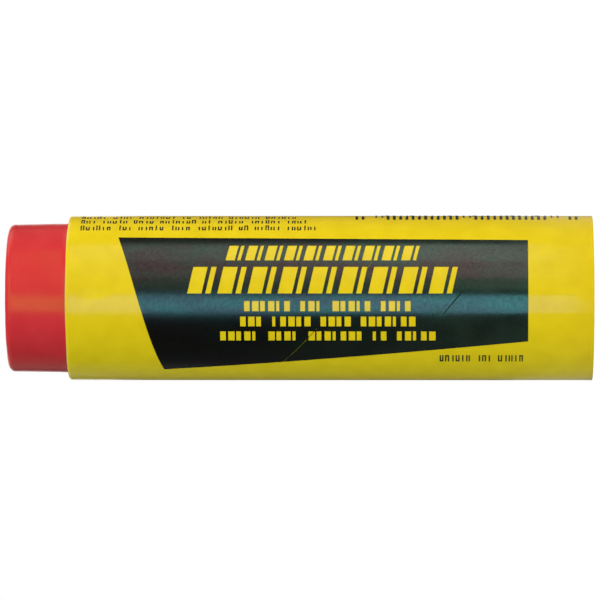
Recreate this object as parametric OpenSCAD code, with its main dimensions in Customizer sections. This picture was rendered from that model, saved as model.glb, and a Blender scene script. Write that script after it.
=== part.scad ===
// Solid paint marker: a cast stick of dried paint, held in a wound board sleeve with a printed label.
// It stands on the sleeve's tail, with its nose up along +Z and the front of the print facing -Y.
// Places on the print are an arc, measured round the label from its front line toward +X,
// and a height, measured up from the tail.

/* [Paint stick] */
// Diameter of the cast stick
stick_d = 25.6; // [22:0.1:32]
// Length of the whole marker, from the sleeve's tail to the top of the nose
marker_len = 100.2; // [95:0.1:130]
// Length of bare stick above the sleeve's mouth
nose_len = 10.55; // [6:0.05:14]
// How much slimmer the nose is at its top than at the mouth, on each side
nose_draft = 0.13; // [0.02:0.01:0.4]
// Rounding of the nose's edge
nose_edge = 1.2; // [0.5:0.1:3]
// Height of the nose's shallow crown
nose_crown = 0.3; // [0.1:0.05:0.8]
// How far the paint lies inside the tail of the sleeve
tail_recess = 1.2; // [0.4:0.1:3]
// Depth of the dish that the paint drew in as it set
tail_dish = 0.9; // [0.3:0.1:2]
// Flat rim of paint round the dish
tail_rim = 0.8; // [0.3:0.1:3]

/* [Sleeve] */
// Wall of the wound board tube
tube_wall = 1.15; // [0.8:0.05:2]
// Rounding of the tube's outer corner at the mouth
mouth_round = 0.6; // [0.2:0.05:0.75]

/* [Label] */
// Thickness of the label paper
label_t = 0.15; // [0.1:0.01:0.25]
// How far the label's end lies over its start, at the back
label_lap = 6; // [3:0.5:9]
// Arc over which the label climbs onto its own start
lap_rise = 1.6; // [0.8:0.1:3]
// How far the label stops short of the mouth
label_setback = 0.1; // [0.05:0.05:0.4]
// Thickness of the printing ink
ink_t = 0.05; // [0.03:0.01:0.1]

/* [Dark panel] */
// Bare label between the panel and the tail
panel_tail_gap = 11.2; // [6:0.1:14]
// Bare label between the panel's upper corner and the mouth
panel_mouth_gap = 8.95; // [6:0.05:12]
// How much lower the panel's lower corner lies than its upper one, toward the mouth
panel_lean = 7.7; // [0:0.05:10]
// Arc of the panel above the front line, at the mouth end
panel_rise_mouth = 11.5; // [10.5:0.1:12.5]
// Arc of the panel above the front line, at the tail end
panel_rise_tail = 10.85; // [10.5:0.05:12.5]
// Arc of the panel below the front line, at the mouth end
panel_drop_mouth = 14.6; // [12:0.05:15]
// Arc of the panel below the front line, at the tail end
panel_drop_tail = 7.7; // [7:0.1:9]

/* [Panel tiles] */
// Number of slanted tiles in the large row
large_tiles = 9; // [5:1:10]
// Spacing of the large tiles
large_pitch = 5.1; // [4:0.1:5.5]
// Height of the large tiles, round the label
large_tall = 4.65; // [4:0.05:5]
// Foot of the large row, above the front line
large_foot = 0.76; // [0.5:0.02:1]
// Number of slanted tiles in the upper row
upper_tiles = 10; // [5:1:14]
// Spacing of the upper tiles
upper_pitch = 3.3; // [2.4:0.1:3.6]
// Height of the upper tiles, round the label
upper_tall = 3; // [2:0.1:3.2]
// Foot of the upper row, above the front line
upper_foot = 6.6; // [6.3:0.05:7]
// Part of its pitch that a tile's wide stripe fills
wide_fill = 0.48; // [0.3:0.02:0.55]
// Part of its pitch that a tile's narrow stripe fills
narrow_fill = 0.18; // [0.1:0.02:0.22]
// Part of its pitch that lies between a tile's two stripes
stripe_gap = 0.12; // [0.06:0.02:0.16]
// Lean of the tiles toward the tail, for each millimetre of their height
tile_lean = 0.22; // [0:0.02:0.4]

/* [Small rows] */
// Height of the letter marks in the panel's three small rows
row_tall = 1.75; // [1.2:0.05:2]
// Spacing of the letter marks in those rows
row_pitch = 1.36; // [1:0.02:1.6]
// Head of the first small row, below the front line
row_first = 0.5; // [0.3:0.05:0.6]
// Spacing of the small rows
row_step = 2.65; // [2.3:0.05:2.8]
// How much nearer the tail the middle of those rows lies than the panel's middle
row_shift = 0.8; // [0:0.1:3]
// Part of its pitch that a letter mark in those rows fills
row_fill = 0.72; // [0.4:0.02:0.8]

/* [Fine print] */
// Height of the taller fine marks
fine_tall = 1.5; // [0.8:0.05:1.6]
// Spacing of the fine marks
fine_pitch = 0.9; // [0.7:0.02:1.2]
// Part of its pitch that a fine mark fills
fine_fill = 0.5; // [0.3:0.02:0.8]
// Foot of the first fine row, above the front line
fine_foot = 13.5; // [13:0.1:14]
// Spacing of the fine rows
fine_step = 2.35; // [2:0.05:2.6]
// Number of fine rows
fine_rows = 3; // [1:1:3]
// Bare label between the fine rows and the mouth
fine_mouth_gap = 2.45; // [1.5:0.05:6]
// Bare label between the fine rows and the bars
fine_bar_gap = 9.5; // [6:0.1:12]
// Foot of the short weight row, below the front line
weight_foot = 12.2; // [12:0.05:12.4]
// Height of the weight row
weight_tall = 1.5; // [0.8:0.05:1.6]
// Number of letter marks in the weight row, counting its spaces
weight_marks = 17; // [8:1:18]

/* [Bars] */
// Number of bars
bar_count = 30; // [16:2:40]
// Spacing of the bars along the marker
bar_pitch = 1.07; // [0.9:0.01:1.2]
// Width of the thinnest bar
bar_thin = 0.26; // [0.15:0.01:0.28]
// Bare label between the bars and the tail
bar_tail_gap = 5.8; // [3:0.1:9]
// Arc from the front line to the foot of the bars
bar_foot = 20.4; // [20:0.1:22]
// Length of the bars, round the label
bar_long = 22.5; // [15:0.5:24]
// How much further down the pairs at the ends and the middle reach
guard_drop = 1.6; // [0.5:0.1:2]
// Height of the short strokes under the bars
stroke_tall = 2.4; // [1.5:0.1:2.8]
// Width of a short stroke
stroke_wide = 0.45; // [0.3:0.05:0.6]
// Bare label between the bars and the short strokes
stroke_gap = 0.4; // [0.2:0.05:0.8]

/* [Hidden] */
$fn = 180;

// Sleeve and label, from the stick outward
sleeve_len = marker_len - nose_len;
stick_r = stick_d / 2;
tube_r = stick_r + tube_wall;
label_r = tube_r + label_t;
ink_r = label_r + ink_t;
mouth_r = tube_r - mouth_round;

// Nose: the crown's arc runs into the edge's arc without a corner
nose_r = stick_r - nose_draft;
crown_r = (nose_r * nose_r + nose_crown * nose_crown) / (2 * nose_crown);
crown_z = marker_len - crown_r;
edge_r = nose_r - nose_edge;
edge_z = crown_z + sqrt(pow(crown_r - nose_edge, 2) - edge_r * edge_r);
join_r = edge_r * crown_r / (crown_r - nose_edge);

// Dish at the tail, as part of a ball
dish_r = stick_r - tail_rim;
dish_ball = (dish_r * dish_r + tail_dish * tail_dish) / (2 * tail_dish);
dish_z = tail_recess + tail_dish - dish_ball;

// The lap lies in the middle of the bare back, between the bars and the panel's lower corner
back_arc = 2 * PI * label_r - panel_drop_mouth;
bar_head = bar_foot + bar_long;
lap_start = (bar_head + back_arc - label_lap) / 2;

// Print: the panel's ends, and the middle that its rows are centred on
panel_top = sleeve_len - panel_mouth_gap;
panel_mid = (panel_top + panel_tail_gap) / 2;
edge_steps = 12;
climb_steps = 6;
cut_deep = 0.5;
bars_top = bar_tail_gap + (bar_count - 1) * bar_pitch;
stroke_over = 3;
bar_widths = [1, 2, 1, 3, 1, 1, 2, 3, 2, 1];

// Letter marks: how many each word has, how wide they are and how tall the fine ones are, in turn
word_marks = [6, 3, 5, 4, 7, 2, 5, 6];
word_turns = [for (turn = [0 : 4]) each word_marks];
letter_widths = [1, 1.15, 0.85, 1.1, 0.55];
fine_talls = [1, 0.7, 0.7, 1, 0.7, 0.7, 0.7];
row_marks = [21, 22, 27];
fine_marks = floor((sleeve_len - fine_mouth_gap - bars_top - fine_bar_gap) / fine_pitch);

// Angle from the front line that an arc on the label covers
function arc_angle(arc) = arc / label_r * 180 / PI;

// Where a place on the print is seen from the front
function seen(place) = [label_r * sin(arc_angle(place[0])), place[1]];

// One straight edge of the flat print, as it bends round the label
function bent(from, to) = [for (i = [0 : edge_steps - 1]) seen(from + (to - from) * i / edge_steps)];

// Marks before a word in a row that starts with a given word, counting one space after each word
function before(word, first) = word == 0 ? 0 : before(word - 1, first) + word_turns[first + word - 1] + 1;

// Length of a row of letter marks
function row_long(marks, pitch, fill) = (marks - 1 + fill) * pitch;

// Half section of a round bar with its upper corner rounded
module round_section(radius, tall, corner) {
    square([radius, tall - corner]);
    square([radius - corner, tall]);
    translate([radius - corner, tall - corner]) circle(corner);
}

// Stretch of a ring that stands on the label's print
module ring_stretch(inner, outer, foot, head, low, high) {
    rotate([0, 0, arc_angle(foot) - 90])
        rotate_extrude(angle = arc_angle(head - foot))
            translate([inner, low]) square([outer - inner, high - low]);
}

// Row of letter marks that reads from the nose toward the tail and starts with a given word
module mark_row(inner, outer, foot, talls, start, marks, pitch, fill, first) {
    for (word = [0 : len(word_turns) - first - 1], letter = [0 : word_turns[first + word] - 1]) {
        place = before(word, first) + letter;
        high = start - place * pitch;
        wide = fill * letter_widths[place % len(letter_widths)] * pitch;
        head = foot + talls[place % len(talls)];
        if (place < marks) ring_stretch(inner, outer, foot, head, high - wide, high);
    }
}

// Row of slanted tiles of two stripes each, as cutters through the ink
module tile_row(foot, tall, tiles, pitch) {
    tile = (wide_fill + stripe_gap + narrow_fill) * pitch;
    row = (tiles - 1) * pitch + tile;
    for (i = [0 : tiles - 1]) {
        top = panel_mid + row / 2 - i * pitch;
        stripe(foot, tall, top - wide_fill * pitch, top);
        stripe(foot, tall, top - tile, top - tile + narrow_fill * pitch);
    }
}

// Slanted stripe through the ink, square to the label
module stripe(foot, tall, low, high) {
    lean = tile_lean * tall;
    rotate([90, 0, arc_angle(foot + tall / 2)]) translate([0, 0, label_r - cut_deep])
        linear_extrude(ink_t + 2 * cut_deep)
            polygon([[-tall / 2, low + lean / 2], [tall / 2, low - lean / 2],
                     [tall / 2, high - lean / 2], [-tall / 2, high + lean / 2]]);
}

// Cast stick of dried paint with a soft nose, dished at the tail
module paint_stick() {
    color("#c9302f") rotate_extrude() difference() {
        union() {
            polygon([[0, tail_recess], [stick_r, tail_recess], [stick_r, sleeve_len],
                     [nose_r, edge_z], [0, edge_z]]);
            translate([edge_r, edge_z]) circle(nose_edge);
            intersection() {
                translate([0, crown_z]) circle(crown_r, $fn = 720);
                translate([0, edge_z]) square([join_r, marker_len - edge_z]);
            }
        }
        translate([0, dish_z]) circle(dish_ball, $fn = 720);
        translate([-stick_r, 0]) square([stick_r, marker_len]);
    }
}

// Board tube, wound from turns of grey paper and cut square at the tail
module wound_tube() {
    color("#b9a98c") rotate_extrude() difference() {
        round_section(tube_r, sleeve_len, mouth_round);
        square([stick_r, sleeve_len]);
    }
}

// Yellow label, once round the tube and over its own start, turned in over the mouth's corner
module label_wrap() {
    color("#ead11f") difference() {
        union() {
            paper(label_t) circle(label_r);
            paper(2 * label_t) lap_plan();
        }
        rotate_extrude() round_section(tube_r, sleeve_len, mouth_round);
    }
}

// Paper of a given thickness on the tube, cut to a plan and short of the mouth
module paper(thick) {
    intersection() {
        linear_extrude(sleeve_len - label_setback) children();
        rotate_extrude() round_section(tube_r + thick, sleeve_len + thick, mouth_round + thick);
    }
}

// Plan of the lap: the climb onto the label's start, then the double layer to the free edge
module lap_plan() {
    outer = label_r + label_t;
    far = 2 * outer;
    turn = arc_angle(label_lap);
    climb = [for (i = [0 : climb_steps]) let (
        share = i / climb_steps,
        angle = arc_angle(lap_rise) * (share - 1),
        reach = label_r + label_t * (0.5 - 0.5 * cos(180 * share))
    ) reach * [cos(angle), sin(angle)]];
    rotate(arc_angle(lap_start) - 90) {
        polygon(concat([[0, 0]], climb));
        intersection() {
            circle(outer);
            polygon([[0, 0], [far, 0], far * [cos(turn / 2), sin(turn / 2)], far * [cos(turn), sin(turn)]]);
        }
    }
}

// Dark field with its tiles and letter marks left open, so that the label shows through
module panel_print() {
    upper_mouth = [panel_rise_mouth, panel_top];
    upper_tail = [panel_rise_tail, panel_tail_gap];
    lower_tail = [-panel_drop_tail, panel_tail_gap];
    lower_mouth = [-panel_drop_mouth, panel_top - panel_lean];
    color("#1d1f1c") difference() {
        intersection() {
            difference() {
                cylinder(r = ink_r, h = sleeve_len);
                cylinder(r = label_r, h = sleeve_len);
            }
            rotate([90, 0, 0]) linear_extrude(ink_r + cut_deep)
                polygon(concat(bent(upper_mouth, lower_mouth), bent(lower_mouth, lower_tail),
                               bent(lower_tail, upper_tail), bent(upper_tail, upper_mouth)));
        }
        tile_row(large_foot, large_tall, large_tiles, large_pitch);
        tile_row(upper_foot, upper_tall, upper_tiles, upper_pitch);
        for (i = [0 : len(row_marks) - 1]) {
            foot = -row_first - row_tall - i * row_step;
            start = panel_mid - row_shift + row_long(row_marks[i], row_pitch, row_fill) / 2;
            mark_row(label_r - cut_deep, ink_r + cut_deep, foot, [row_tall], start,
                     row_marks[i], row_pitch, row_fill, i);
        }
    }
}

// Fine rows beside the panel and the short weight row below it
module fine_print() {
    color("#2a2b26") {
        for (i = [0 : fine_rows - 1])
            mark_row(label_r, ink_r, fine_foot + i * fine_step, fine_tall * fine_talls,
                     sleeve_len - fine_mouth_gap, fine_marks - 2 * i, fine_pitch, fine_fill, i);
        mark_row(label_r, ink_r, -weight_foot, [weight_tall],
                 panel_tail_gap + row_long(weight_marks, fine_pitch, fine_fill),
                 weight_marks, fine_pitch, fine_fill, 0);
    }
}

// Bars that run round the side, with a longer pair at each end and in the middle, and a row of short
// strokes under them that leaves room for those pairs
module bar_print() {
    middle = bar_count / 2;
    guards = [0, 1, middle - 1, middle, bar_count - 2, bar_count - 1];
    bare = concat(guards, [-1, bar_count]);
    color("#2a2b26") {
        for (i = [0 : bar_count - 1]) {
            low = bar_tail_gap + i * bar_pitch;
            guard = len(search(i, guards)) > 0;
            wide = guard ? bar_thin : bar_thin * bar_widths[i % len(bar_widths)];
            drop = guard ? guard_drop : 0;
            ring_stretch(label_r, ink_r, bar_foot - drop, bar_head, low, low + wide);
        }
        for (i = [-stroke_over : bar_count - 1 + stroke_over]) {
            low = bar_tail_gap + i * bar_pitch;
            if (len(search(i, bare)) == 0)
                ring_stretch(label_r, ink_r, bar_foot - stroke_gap - stroke_tall, bar_foot - stroke_gap,
                             low, low + stroke_wide);
        }
    }
}

paint_stick();
wound_tube();
label_wrap();
panel_print();
fine_print();
bar_print();
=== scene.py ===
# %% [markdown]
# # A solid paint marker
#
# A thick stick of solid paint sits in a sleeve of wound board, and a printed paper label is wrapped
# round the sleeve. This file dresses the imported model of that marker: each real piece gets a mesh of its
# own, with the finish that its material has. The camera and the lamps are set up as for the photograph.
#
# The marker stands on the tail of its sleeve, with the nose of the stick up along +Z. The front of the
# print faces -Y. Sizes are given in millimetres, because that is how paper and print are measured, and
# one value turns them into Blender's metres.

# %% Load the frame
import math

import bpy
from mathutils import Matrix, Vector, noise


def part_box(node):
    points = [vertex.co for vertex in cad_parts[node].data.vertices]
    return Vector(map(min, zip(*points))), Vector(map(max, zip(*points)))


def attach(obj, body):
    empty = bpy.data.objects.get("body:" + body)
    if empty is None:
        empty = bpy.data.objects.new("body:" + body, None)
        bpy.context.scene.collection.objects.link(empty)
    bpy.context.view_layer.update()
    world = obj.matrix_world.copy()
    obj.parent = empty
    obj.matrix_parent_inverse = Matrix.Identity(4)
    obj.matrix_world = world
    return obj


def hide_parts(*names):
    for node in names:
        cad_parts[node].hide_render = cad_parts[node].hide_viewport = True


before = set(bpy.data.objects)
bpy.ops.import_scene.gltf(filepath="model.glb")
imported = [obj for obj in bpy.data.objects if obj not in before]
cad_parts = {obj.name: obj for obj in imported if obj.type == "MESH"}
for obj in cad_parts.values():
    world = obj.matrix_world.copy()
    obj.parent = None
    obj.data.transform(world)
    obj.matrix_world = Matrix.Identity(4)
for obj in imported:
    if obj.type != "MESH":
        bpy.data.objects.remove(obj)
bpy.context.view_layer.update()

MM = 0.001
print("nodes of the packed model:", sorted(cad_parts))

# %% [markdown]
# ## Sizes from the imported model
#
# So that nothing here is bigger or smaller than the imported model, every size that it can give is read
# from it. What it can't give, such as a rounding or a paper's thickness, is a named value in the cell
# that first needs it, the same as in the model's own source.

# %% Read the sizes
def box_mm(node):
    """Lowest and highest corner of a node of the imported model, in millimetres."""
    return [[c / MM for c in corner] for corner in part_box(node)]


stick_low, stick_high = box_mm("paint_stick")
tube_high = box_mm("wound_tube")[1]
STICK_R = stick_high[0]
NOSE_TOP = stick_high[2]
TAIL_RECESS = stick_low[2]
TUBE_R = tube_high[0]
SLEEVE_LEN = tube_high[2]
print(f"stick radius {STICK_R:.2f} and top {NOSE_TOP:.2f}, set back {TAIL_RECESS:.2f} mm at the tail")
print(f"tube radius {TUBE_R:.2f}, length {SLEEVE_LEN:.2f} mm")

# %% [markdown]
# ## Three small helpers
#
# Colours are written as they look on a screen, as sRGB hex values, and one function turns them into the
# linear values that the shaders compute with. Node trees are long to write, so one function adds a node,
# sets it and links it: a value that is itself a node or a socket becomes a link. A third function adds
# a finished piece to the scene, hides the node of the imported model that it takes the place of, and
# counts its faces.

# %% Helpers for colours, nodes and pieces
def linear(hex_colour):
    """An sRGB hex colour as linear red, green, blue and a full alpha."""
    parts = [int(hex_colour[i:i + 2], 16) / 255 for i in (1, 3, 5)]
    return [c / 12.92 if c <= 0.04045 else ((c + 0.055) / 1.055) ** 2.4 for c in parts] + [1.0]


def add(tree, kind, values=None, **settings):
    """Adds a node. A value that is a node links that node's first output, and a socket links itself."""
    node = tree.nodes.new(kind)
    for name, setting in settings.items():
        setattr(node, name, setting)
    for place, value in (values or {}).items():
        if isinstance(value, bpy.types.Node):
            tree.links.new(value.outputs[0], node.inputs[place])
        elif isinstance(value, bpy.types.NodeSocket):
            tree.links.new(value, node.inputs[place])
        else:
            node.inputs[place].default_value = value
    return node


def piece(name, mesh, stands_for, material=None):
    """Puts a mesh into the scene as a piece of the marker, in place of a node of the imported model."""
    obj = bpy.data.objects.new(name, mesh)
    bpy.context.scene.collection.objects.link(obj)
    if material:
        mesh.materials.clear()
        mesh.materials.append(material)
    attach(obj, "root")
    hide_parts(stands_for)
    print(f"{name}: {len(mesh.polygons)} faces")


print("mid grey on the screen is", round(linear("#808080")[0], 3), "of white's light")

# %% [markdown]
# ## Camera
#
# In the photograph the marker lies on its side, nose to the left. The marker could be laid down too, but
# standing it on its tail is only a quarter turn of the picture, so the camera is rolled instead: its
# right is -Z and its up is +X. The photograph was taken from about a metre, a little nearer the tail than
# the middle, so the camera stands there and is turned toward the middle of the picture. From so far away
# it takes a long lens to fill the frame.

# %% Camera
CAMERA_FAR = 949 * MM
CAMERA_HIGH = 31.16 * MM
PICTURE_MIDDLE = Vector((-0.34, 0, 50.03)) * MM

camera_data = bpy.data.cameras.new("camera")
camera_data.sensor_width = 36
camera_data.lens = 332
camera_data.clip_start = 0.05
camera = bpy.data.objects.new("camera", camera_data)
bpy.context.scene.collection.objects.link(camera)
bpy.context.scene.camera = camera
eye = Vector((PICTURE_MIDDLE.x, -CAMERA_FAR, CAMERA_HIGH))
forward = (PICTURE_MIDDLE - eye).normalized()
up = Vector((1, 0, 0))
right = forward.cross(up).normalized()
turn = Matrix((right, right.cross(forward), -forward)).transposed()
camera.matrix_world = Matrix.Translation(eye) @ turn.to_4x4()
print("camera stands at", [round(c, 4) for c in eye], "and its right is", [round(c, 2) for c in right])

# %% [markdown]
# ## Floor and surroundings
#
# The picture's ground is plain white. Strong lamps on a white floor would give that too, but they would
# bleach the marker. So the floor and the world look white to the camera by themselves, through the Light
# Path node, and the lamps only have to light the marker. It has no metal or glass that would have to
# mirror the white ground, so only the camera's own rays see it.
#
# The floor still takes a share of real light, so it keeps the marker's soft shadow. It ends a little way
# in front of the marker, so that the tail of the label mirrors the lamps and not the floor.

# %% Floor
FLOOR_HALF = 0.35
FLOOR_FRONT = 0.11
FLOOR_GLOW = 0.9

floor_paint = bpy.data.materials.new("matt white studio floor")
floor_paint.use_nodes = True
tree = floor_paint.node_tree
tree.nodes.clear()
path = add(tree, "ShaderNodeLightPath")
matt = add(tree, "ShaderNodeBsdfDiffuse", {"Color": linear("#c4c4c4")})
dim = add(tree, "ShaderNodeBsdfDiffuse", {"Color": linear("#808080")})
glow = add(tree, "ShaderNodeEmission", {"Color": linear("#ffffff"), "Strength": FLOOR_GLOW})
seen = add(tree, "ShaderNodeAddShader", {0: dim, 1: glow})
mixed = add(tree, "ShaderNodeMixShader", {0: path.outputs["Is Camera Ray"], 1: matt, 2: seen})
add(tree, "ShaderNodeOutputMaterial", {"Surface": mixed})

floor_mesh = bpy.data.meshes.new("floor")
corners = [(-FLOOR_HALF, -FLOOR_FRONT, 0), (FLOOR_HALF, -FLOOR_FRONT, 0),
           (FLOOR_HALF, 2 * FLOOR_HALF, 0), (-FLOOR_HALF, 2 * FLOOR_HALF, 0)]
floor_mesh.from_pydata(corners, [], [(0, 1, 2, 3)])
floor_mesh.materials.append(floor_paint)
floor = bpy.data.objects.new("floor", floor_mesh)
bpy.context.scene.collection.objects.link(floor)
print("floor is", 2 * FLOOR_HALF, "m wide and starts", FLOOR_FRONT, "m in front of the marker")

# %% World
ROOM_LIGHT = 0.1

world = bpy.data.worlds.new("white studio")
bpy.context.scene.world = world
world.use_nodes = True
tree = world.node_tree
tree.nodes.clear()
path = add(tree, "ShaderNodeLightPath")
room = add(tree, "ShaderNodeBackground", {"Color": linear("#ffffff"), "Strength": ROOM_LIGHT})
white = add(tree, "ShaderNodeBackground", {"Color": linear("#ffffff"), "Strength": 1.0})
shown = add(tree, "ShaderNodeMixShader", {0: path.outputs["Is Camera Ray"], 1: room, 2: white})
add(tree, "ShaderNodeOutputWorld", {"Surface": shown})
print("the room gives", ROOM_LIGHT, "of the light that its white would give")

# %% [markdown]
# ## Lamps
#
# The dark print is glossy, so the photograph shows what stood round the marker, and each lamp is put
# where its mirror image is seen. A broad soft light comes from above and in front: a side box, a key box
# and a front panel, one beside the other, so that their images run into one another. They stand so low
# that their image fades out at the nose. Just below the middle the print mirrors a bluish strip, and under
# that nothing. A large box high in front and a rim box on the upper side give the even light of the room,
# and a faint one lights the lower edge from behind. The last one, straight behind, lights only what the
# photograph doesn't show.
#
# A lamp is given by its bearing round the marker, from the camera toward +X, and its rise, both in
# degrees, by its distance and the size of its face in metres, and by how bright the face looks, where 1
# is white paper in the picture. No lamp is seen by the camera.

# %% Lamps
WARM_WHITE = "#fffcf6"


def soft_box(name, bearing, rise, far, wide, tall, bright, tint):
    """A rectangular lamp whose face has a set brightness, turned toward the middle of the marker."""
    lamp = bpy.data.lights.new(name, "AREA")
    lamp.shape = "RECTANGLE"
    lamp.size = wide
    lamp.size_y = tall
    lamp.energy = bright * math.pi * wide * tall
    lamp.color = linear(tint)[:3]
    obj = bpy.data.objects.new(name, lamp)
    bpy.context.scene.collection.objects.link(obj)
    bearing, rise = math.radians(bearing), math.radians(rise)
    middle = Vector((0, 0, NOSE_TOP * MM / 2))
    level = math.cos(rise)
    away = Vector((math.sin(bearing) * level, -math.cos(bearing) * level, math.sin(rise)))
    obj.location = middle + away * far
    obj.rotation_euler = (-away).to_track_quat("-Z", "Y").to_euler()
    obj.visible_camera = False
    print(f"{name}: {lamp.energy:.2f} W, middle at", [round(c, 2) for c in obj.location])


soft_box("side box", bearing=66, rise=-2.6, far=0.8, wide=0.4, tall=0.283, bright=3.2, tint="#e5ffe8")
soft_box("key box", bearing=40, rise=-2.6, far=0.8, wide=0.34, tall=0.283, bright=2.1, tint="#ffeadf")
soft_box("front panel", bearing=20, rise=-0.35, far=0.85, wide=0.24, tall=0.23, bright=1.02, tint="#cdffcf")
soft_box("strip", bearing=-8.5, rise=3, far=1.2, wide=0.525, tall=0.36, bright=5.9, tint="#92efff")
soft_box("front ceiling", bearing=12, rise=38, far=0.95, wide=1.1, tall=0.8, bright=2.7, tint=WARM_WHITE)
soft_box("rim box", bearing=112, rise=32, far=0.95, wide=0.8, tall=0.8, bright=1.3, tint=WARM_WHITE)
soft_box("low rim", bearing=-125, rise=25, far=0.95, wide=0.7, tall=0.7, bright=0.36, tint=WARM_WHITE)
soft_box("back box", bearing=180, rise=25, far=0.95, wide=0.7, tall=0.7, bright=1.0, tint=WARM_WHITE)

# %% [markdown]
# ## The label's wrap, as a node group
#
# Paper and print are flat things that were bent round a tube. They could be modelled round at once, but
# then each would need its own sums for every bend. They are made flat here too: X is the arc round the
# sleeve, Y the height above its surface and Z the place along it. One Geometry Nodes group then bends
# whatever it is given. Because label and ink go through the same group, they follow the same lap, the
# same turned-in mouth, the same faint waves of hand-wound paper, the same crease and dents.

# %% A tree with named sizes
SOCKET_KINDS = {float: "NodeSocketFloat", int: "NodeSocketInt", tuple: "NodeSocketVector"}


def sized_tree(name, sizes):
    """A Geometry Nodes tree with a geometry input and output and one named input for each size."""
    tree = bpy.data.node_groups.new(name, "GeometryNodeTree")
    tree.interface.new_socket("Geometry", in_out="INPUT", socket_type="NodeSocketGeometry")
    tree.interface.new_socket("Geometry", in_out="OUTPUT", socket_type="NodeSocketGeometry")
    for size, value in sizes.items():
        socket = tree.interface.new_socket(size, in_out="INPUT", socket_type=SOCKET_KINDS[type(value)])
        socket.default_value = value
    print(f"tree '{name}' takes {len(sizes)} sizes")
    return tree, tree.nodes.new("NodeGroupInput")


# %% Sizes of the wrap
PAPER = 0.15
LABEL_R = TUBE_R + PAPER
ROUND_ARC = 2 * math.pi * LABEL_R
MOUTH_ROUND = 0.6
MOUTH_WAVE = 0.1
WAVE_DEPTH = 0.035

# The lap lies at the back, midway between the ends of what is printed.
BAR_HEAD = 42.9
PANEL_DROP_MOUTH = 14.6
LABEL_LAP = 6.0
LAP_START = (BAR_HEAD + ROUND_ARC - PANEL_DROP_MOUTH - LABEL_LAP) / 2

wrap, given = sized_tree("bend round the sleeve", {
    "Radius": LABEL_R, "Mouth": SLEEVE_LEN - MOUTH_ROUND, "Rounding": MOUTH_ROUND + PAPER,
    "Mouth wave": MOUTH_WAVE, "Paper": PAPER, "Lap at": LAP_START, "Lap rise": 1.6,
    "Wave length": 11.0, "Wave depth": WAVE_DEPTH,
    "Crease from": (2.9, 0.0, 21.5), "Crease to": (-2.8, 0.0, 26.1),
    "Crease width": 0.4, "Crease depth": 0.012,
    "Dent from": (1.0, 0.0, 83.5), "Dent to": (0.7, 0.0, 86.5), "Dent width": 1.9, "Dent depth": 0.07,
    "Nick from": (0.6, 0.0, -1.0), "Nick to": (0.4, 0.0, 1.2), "Nick width": 1.3, "Nick depth": 0.05,
})
size = given.outputs
place = add(wrap, "GeometryNodeInputPosition")
split = add(wrap, "ShaderNodeSeparateXYZ", {0: place})
arc, lift, along = split.outputs
print(f"label radius {LABEL_R:.2f}, once round {ROUND_ARC:.1f}, lap from arc {LAP_START:.1f} mm")

# %% [markdown]
# Where the paper comes round to its own start it climbs onto it.

# %% Wrap: the lap
climb_from = add(wrap, "ShaderNodeMath", {0: size["Lap at"], 1: size["Lap rise"]}, operation="SUBTRACT")
climb = add(wrap, "ShaderNodeMapRange", {"Value": arc, "From Min": climb_from, "From Max": size["Lap at"],
                                         "To Min": 0.0, "To Max": size["Paper"]},
            interpolation_type="SMOOTHSTEP")
print("the lap climbs by", PAPER, "mm")

# %% [markdown]
# The paper never lies quite true. Noise that runs round the sleeve sinks it, in waves that are drawn out
# along the sleeve.

# %% Wrap: faint waves
angle = add(wrap, "ShaderNodeMath", {0: arc, 1: size["Radius"]}, operation="DIVIDE")
sine = add(wrap, "ShaderNodeMath", {0: angle}, operation="SINE")
cosine = add(wrap, "ShaderNodeMath", {0: angle}, operation="COSINE")
round_x = add(wrap, "ShaderNodeMath", {0: sine, 1: size["Radius"]}, operation="MULTIPLY")
round_y = add(wrap, "ShaderNodeMath", {0: cosine, 1: size["Radius"]}, operation="MULTIPLY")
half_along = add(wrap, "ShaderNodeMath", {0: along, 1: 0.5}, operation="MULTIPLY")
on_sleeve = add(wrap, "ShaderNodeCombineXYZ", {0: round_x, 1: round_y, 2: half_along})
per_wave = add(wrap, "ShaderNodeMath", {0: 1.0, 1: size["Wave length"]}, operation="DIVIDE")
waves = add(wrap, "ShaderNodeTexNoise", {"Vector": on_sleeve, "Scale": per_wave, "Detail": 1.0})
sink = add(wrap, "ShaderNodeMath", {0: waves, 1: size["Wave depth"]}, operation="MULTIPLY")
print("waves sink the paper by up to", WAVE_DEPTH, "mm")

# %% [markdown]
# The crease, a dent near the mouth and a nick at the tail are all the same shape, a groove from one point
# of the flat label to another. The nodes find the nearest point of that line and sink the paper by how
# near it is. One function adds them, once for each mark.

# %% Wrap: crease, dent and nick
flat_place = add(wrap, "ShaderNodeCombineXYZ", {0: arc, 1: 0.0, 2: along})


def groove(mark):
    """Adds the nodes of one groove and returns the node that holds its depth."""
    start, end = size[mark + " from"], size[mark + " to"]
    reach = add(wrap, "ShaderNodeVectorMath", {0: flat_place, 1: start}, operation="SUBTRACT")
    run = add(wrap, "ShaderNodeVectorMath", {0: end, 1: start}, operation="SUBTRACT")
    reach_run = add(wrap, "ShaderNodeVectorMath", {0: reach, 1: run}, operation="DOT_PRODUCT")
    run_run = add(wrap, "ShaderNodeVectorMath", {0: run, 1: run}, operation="DOT_PRODUCT")
    share = add(wrap, "ShaderNodeMath", {0: reach_run.outputs["Value"], 1: run_run.outputs["Value"]},
                operation="DIVIDE", use_clamp=True)
    foot = add(wrap, "ShaderNodeVectorMath", {0: run, "Scale": share}, operation="SCALE")
    off = add(wrap, "ShaderNodeVectorMath", {0: reach, 1: foot}, operation="DISTANCE")
    return add(wrap, "ShaderNodeMapRange", {
        "Value": off.outputs["Value"], "From Min": 0.0, "From Max": size[mark + " width"],
        "To Min": size[mark + " depth"], "To Max": 0.0}, interpolation_type="SMOOTHSTEP")


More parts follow.
